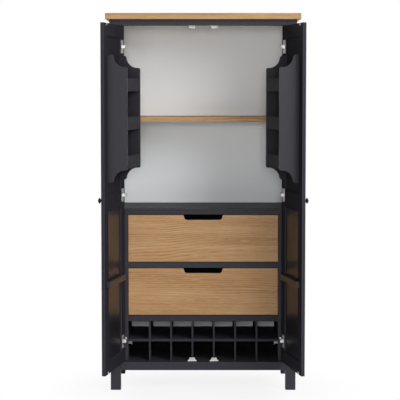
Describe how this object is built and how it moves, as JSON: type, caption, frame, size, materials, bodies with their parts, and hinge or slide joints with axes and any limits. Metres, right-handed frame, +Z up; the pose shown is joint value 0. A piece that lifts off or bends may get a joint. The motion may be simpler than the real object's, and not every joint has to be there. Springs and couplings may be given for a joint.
{
  "type": "wine cabinet",
  "caption": "Tall wine cabinet with hinged doors that carry tiered racks inside, an oak top and shelf, oak drawers with finger cut-outs and a bottle rack below.",
  "frame": {"origin": "on the floor, under the centre of the whole part's box with the doors open as at rest", "axes": "+X to the right seen from the front, +Y to the back, +Z up"},
  "size_m": [0.9556, 0.8324, 1.8],
  "materials": {
    "oak": "oiled oak with fine grain along its length",
    "charcoal_paint": "satin charcoal paint on wood",
    "pale_lacquer": "pale grey lacquer inside, charcoal paint outside",
    "drawer_wood": "plain planed wood",
    "nickel": "bright nickel plate",
    "steel": "satin zinc plate",
    "white_plastic": "matt white",
    "dark_metal": "satin dark bronze"
  },
  "bodies": {
    "carcass": {"top_board": "oak", "front_left_leg": "charcoal_paint", "front_right_leg": "charcoal_paint", "rear_left_leg": "charcoal_paint", "rear_right_leg": "charcoal_paint", "top_rail": "charcoal_paint", "bottom_rail": "charcoal_paint", "left_side_panel": "pale_lacquer", "left_side_rails": "charcoal_paint", "right_side_panel": "pale_lacquer", "right_side_rails": "charcoal_paint", "shelf_pegs": "steel", "back_panel": "pale_lacquer", "back_rails": "charcoal_paint", "floor_board": "charcoal_paint", "deck_board": "charcoal_paint", "left_filler_stile": "charcoal_paint", "right_filler_stile": "charcoal_paint", "drawer_rail": "charcoal_paint", "drawer_runners": "drawer_wood", "rack_top_board": "charcoal_paint", "rack_ends": "charcoal_paint", "rack_shelf": "charcoal_paint", "rack_dividers": "charcoal_paint", "magnetic_catches": "white_plastic", "hinge_arms": "nickel"},
    "shelf": {"shelf": "oak"},
    "left_door": {"left_door_hinge_stile": "charcoal_paint", "left_door_meeting_stile": "charcoal_paint", "left_door_rails": "charcoal_paint", "left_door_upper_panel": "charcoal_paint", "left_door_lower_panel": "charcoal_paint", "left_door_knob": "dark_metal", "left_door_hinge_cups": "nickel", "left_door_strike_plates": "steel", "left_door_batten": "charcoal_paint", "left_door_rack_sides": "charcoal_paint", "left_door_rack_shelves": "charcoal_paint", "left_door_rack_rails": "charcoal_paint"},
    "right_door": {"right_door_hinge_stile": "charcoal_paint", "right_door_meeting_stile": "charcoal_paint", "right_door_rails": "charcoal_paint", "right_door_upper_panel": "charcoal_paint", "right_door_lower_panel": "charcoal_paint", "right_door_knob": "dark_metal", "right_door_hinge_cups": "nickel", "right_door_strike_plates": "steel", "right_door_batten": "charcoal_paint", "right_door_rack_sides": "charcoal_paint", "right_door_rack_shelves": "charcoal_paint", "right_door_rack_rails": "charcoal_paint"},
    "upper_drawer": {"upper_drawer_front": "oak", "upper_drawer_sides": "drawer_wood", "upper_drawer_back": "drawer_wood", "upper_drawer_bottom": "drawer_wood"},
    "lower_drawer": {"lower_drawer_front": "oak", "lower_drawer_sides": "drawer_wood", "lower_drawer_back": "drawer_wood", "lower_drawer_bottom": "drawer_wood"}
  },
  "joints": [
    {"name": "left_door_hinge", "type": "hinge", "parent": "carcass", "child": "left_door", "pos_m": [-0.3875, -0.03379, 0.942], "axis": [0, 0, -1], "range_deg": [-100.3, 9]},
    {"name": "right_door_hinge", "type": "hinge", "parent": "carcass", "child": "right_door", "pos_m": [0.3875, -0.03379, 0.942], "axis": [0, 0, 1], "range_deg": [-100.3, 9]},
    {"name": "upper_drawer_slide", "type": "slide", "parent": "carcass", "child": "upper_drawer", "axis": [0, -1, 0], "range_m": [0, 0.28]},
    {"name": "lower_drawer_slide", "type": "slide", "parent": "carcass", "child": "lower_drawer", "axis": [0, -1, 0], "range_m": [0, 0.28]},
    {"name": "shelf_lift", "type": "slide", "parent": "carcass", "child": "shelf", "axis": [0, 0, 1], "range_m": [0, 0.2]}
  ]
}
